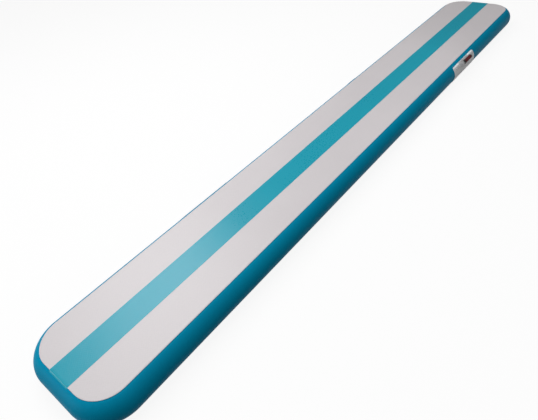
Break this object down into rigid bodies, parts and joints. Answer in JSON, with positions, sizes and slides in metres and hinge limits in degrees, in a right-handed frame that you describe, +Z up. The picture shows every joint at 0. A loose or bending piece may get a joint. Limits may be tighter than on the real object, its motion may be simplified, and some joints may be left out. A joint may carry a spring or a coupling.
{
  "type": "air track mat",
  "caption": "Long flat inflatable tumbling mat with rounded corners, a coloured centre stripe and walls, carry handles on its sides and a capped inflation valve at one end.",
  "frame": {"origin": "centre of the underside, on the floor", "axes": "+X along the mat towards the valve end, +Y across it, +Z up"},
  "size_m": [3.0246, 0.4437, 0.1],
  "materials": {
    "top_cloth": "satin coated cloth",
    "stripe_film": "satin film",
    "bottom_cloth": "matt embossed",
    "wall_cloth": "satin coated cloth",
    "lining_cloth": "matt",
    "yarn": "matt",
    "patch_cloth": "satin coated cloth",
    "webbing": "woven",
    "grip_rubber": "matt",
    "boot_pvc": "satin",
    "seal_rubber": "matt",
    "valve_plastic": "satin moulded",
    "plunger_plastic": "satin moulded",
    "washer_plastic": "matt",
    "spring_steel": "drawn wire",
    "cap_plastic": "satin moulded"
  },
  "bodies": {
    "mat": {"top_face": "top_cloth", "centre_stripe": "stripe_film", "bottom_face": "bottom_cloth", "drop_stitch_yarns": "yarn", "outer_wall_band": "wall_cloth", "inner_wall_band": "lining_cloth", "wall_joint_strip": "wall_cloth", "front_handle_patch": "patch_cloth", "front_handle_pads": "patch_cloth", "front_handle_ends": "webbing", "rear_handle_patch": "patch_cloth", "rear_handle_pads": "patch_cloth", "rear_handle_ends": "webbing", "valve_boot": "boot_pvc", "valve_gasket": "seal_rubber", "valve_backing": "seal_rubber", "valve_nut": "valve_plastic", "valve_body": "valve_plastic", "valve_barrel": "valve_plastic", "valve_spring": "spring_steel", "cap_leash": "cap_plastic"},
    "front_handle": {"front_handle_strap": "webbing", "front_handle_grip": "grip_rubber"},
    "rear_handle": {"rear_handle_strap": "webbing", "rear_handle_grip": "grip_rubber"},
    "thrust_washer": {"valve_washer": "washer_plastic"},
    "plunger": {"valve_stem": "plunger_plastic", "valve_disc": "seal_rubber", "valve_button": "plunger_plastic"},
    "leash_end": {"leash_eye": "cap_plastic"},
    "cap": {"valve_cap": "cap_plastic", "cap_seal": "seal_rubber"}
  },
  "joints": [
    {"name": "front_handle_swing", "type": "hinge", "parent": "mat", "child": "front_handle", "pos_m": [0.73, -0.1981, 0.08336], "axis": [1, 0, 0], "range_deg": [-45, 45]},
    {"name": "rear_handle_swing", "type": "hinge", "parent": "mat", "child": "rear_handle", "pos_m": [-0.73, 0.2059, 0.03389], "axis": [-1, 0, 0], "range_deg": [-45, 45]},
    {"name": "valve_push", "type": "slide", "parent": "mat", "child": "thrust_washer", "axis": [-1, 0, 0], "range_m": [0, 0.007], "stiffness_N_per_m": 350, "springref_m": -0.006, "deforming": ["valve_spring"]},
    {"name": "valve_turn", "type": "hinge", "parent": "thrust_washer", "child": "plunger", "pos_m": [1.5, 0, 0.04985], "axis": [-1, 0, 0], "range_deg": [0, 90]},
    {"name": "cap_lift", "type": "slide", "parent": "mat", "child": "leash_end", "axis": [1, 0, 0], "range_m": [0, 0.045], "deforming": ["cap_leash"]},
    {"name": "cap_turn", "type": "hinge", "parent": "leash_end", "child": "cap", "pos_m": [1.5, 0, 0.04985], "axis": [1, 0, 0], "range_deg": [0, 540]}
  ]
}
